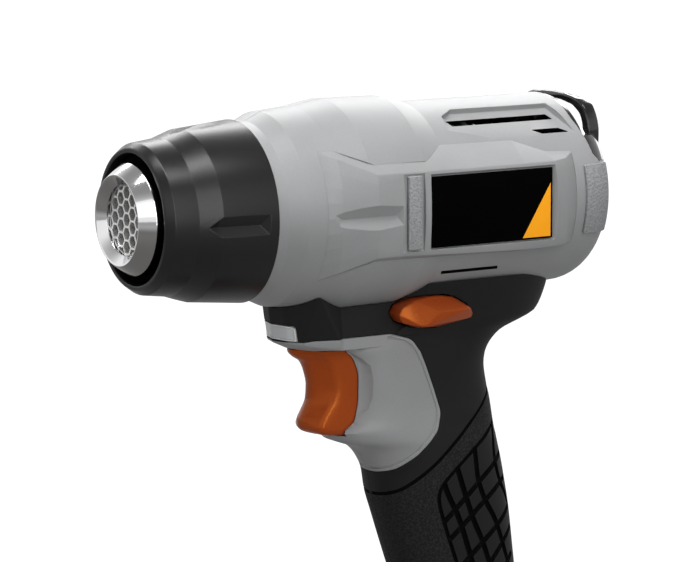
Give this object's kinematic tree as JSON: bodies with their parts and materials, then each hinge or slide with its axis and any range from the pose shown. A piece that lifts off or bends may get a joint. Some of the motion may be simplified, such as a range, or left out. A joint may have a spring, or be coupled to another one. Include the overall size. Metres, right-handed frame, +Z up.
{
  "type": "cordless hot air tool",
  "caption": "Pistol-grip hot air tool with a round barrel, chromed outlet, vented rear, sliding selector, trigger, foot and a slide-on battery.",
  "frame": {"origin": "the middle of the footprint, on the surface that the battery stands on", "axes": "+X the way the hot air blows, +Y the tool's left, +Z up"},
  "size_m": [0.1914, 0.0772, 0.2626],
  "materials": {
    "housing": "light grey satin plastic",
    "trim": "fine-textured grey plastic",
    "black_plastic": "satin black plastic",
    "grip": "soft black overmould",
    "cap": "glossy dark plastic",
    "orange": "burnt orange plastic",
    "label": "plain black plate",
    "chrome": "polished chromed steel",
    "steel": "plain steel",
    "insulation": "mica and ceramic",
    "heating_wire": "oxidised resistance wire",
    "board": "green circuit board",
    "lens": "frosted clear plastic",
    "red_wire": "red insulation",
    "cell": "shrink-wrapped steel can"
  },
  "bodies": {
    "body": {"housing_left": "housing", "housing_right": "housing", "grip_cover_left": "grip", "grip_cover_right": "grip", "nozzle_collar": "black_plastic", "outlet_nozzle": "chrome", "outlet_grille": "steel", "heater_sleeve": "insulation", "heater_former": "insulation", "heating_coil": "heating_wire", "front_insulator": "insulation", "heater_support_ring": "insulation", "thermal_cutout": "steel", "fan_duct": "black_plastic", "motor": "steel", "motor_mount": "black_plastic", "rear_cap": "cap", "intake_screen": "steel", "rear_pad_left": "trim", "rear_pad_right": "trim", "side_strip_left": "trim", "side_strip_right": "trim", "label_plate_left": "label", "label_plate_right": "label", "light_lens": "lens", "light_board": "board", "trigger_switch": "black_plastic", "trigger_spring": "steel", "selector_switch": "black_plastic", "control_board": "board", "heat_sink": "steel", "terminal_block": "black_plastic", "lead_red": "red_wire", "lead_black": "black_plastic", "housing_screw_1": "steel", "housing_screw_2": "steel", "housing_screw_3": "steel", "housing_screw_4": "steel", "housing_screw_5": "steel", "housing_screw_6": "steel", "housing_screw_7": "steel", "housing_screw_8": "steel", "housing_screw_9": "steel"},
    "trigger": {"trigger": "orange"},
    "selector": {"selector": "orange"},
    "rotor": {"fan": "black_plastic", "motor_shaft": "steel"},
    "battery": {"battery_case_upper": "black_plastic", "battery_case_lower": "black_plastic", "battery_cell_1": "cell", "battery_cell_2": "cell", "battery_cell_3": "cell", "battery_cell_4": "cell", "battery_cell_5": "cell", "cell_board": "board", "latch_spring": "steel"},
    "latch": {"battery_latch": "orange"}
  },
  "joints": [
    {"name": "trigger_slide", "type": "slide", "parent": "body", "child": "trigger", "axis": [-1, 0, 0], "range_m": [0, 0.006], "stiffness_N_per_m": 300, "springref_m": -0.01, "deforming": ["trigger_spring"]},
    {"name": "selector_slide", "type": "slide", "parent": "body", "child": "selector", "axis": [0, 1, 0], "range_m": [-0.003, 0.003]},
    {"name": "fan_spin", "type": "hinge", "parent": "body", "child": "rotor", "pos_m": [-0.028, 0, 0.224], "axis": [1, 0, 0], "continuous": true},
    {"name": "battery_slide", "type": "slide", "parent": "body", "child": "battery", "axis": [1, 0, 0], "range_m": [0, 0.074]},
    {"name": "latch_press", "type": "slide", "parent": "battery", "child": "latch", "axis": [0, 0, -1], "range_m": [0, 0.0035], "stiffness_N_per_m": 400, "springref_m": -0.004, "deforming": ["latch_spring"]}
  ]
}
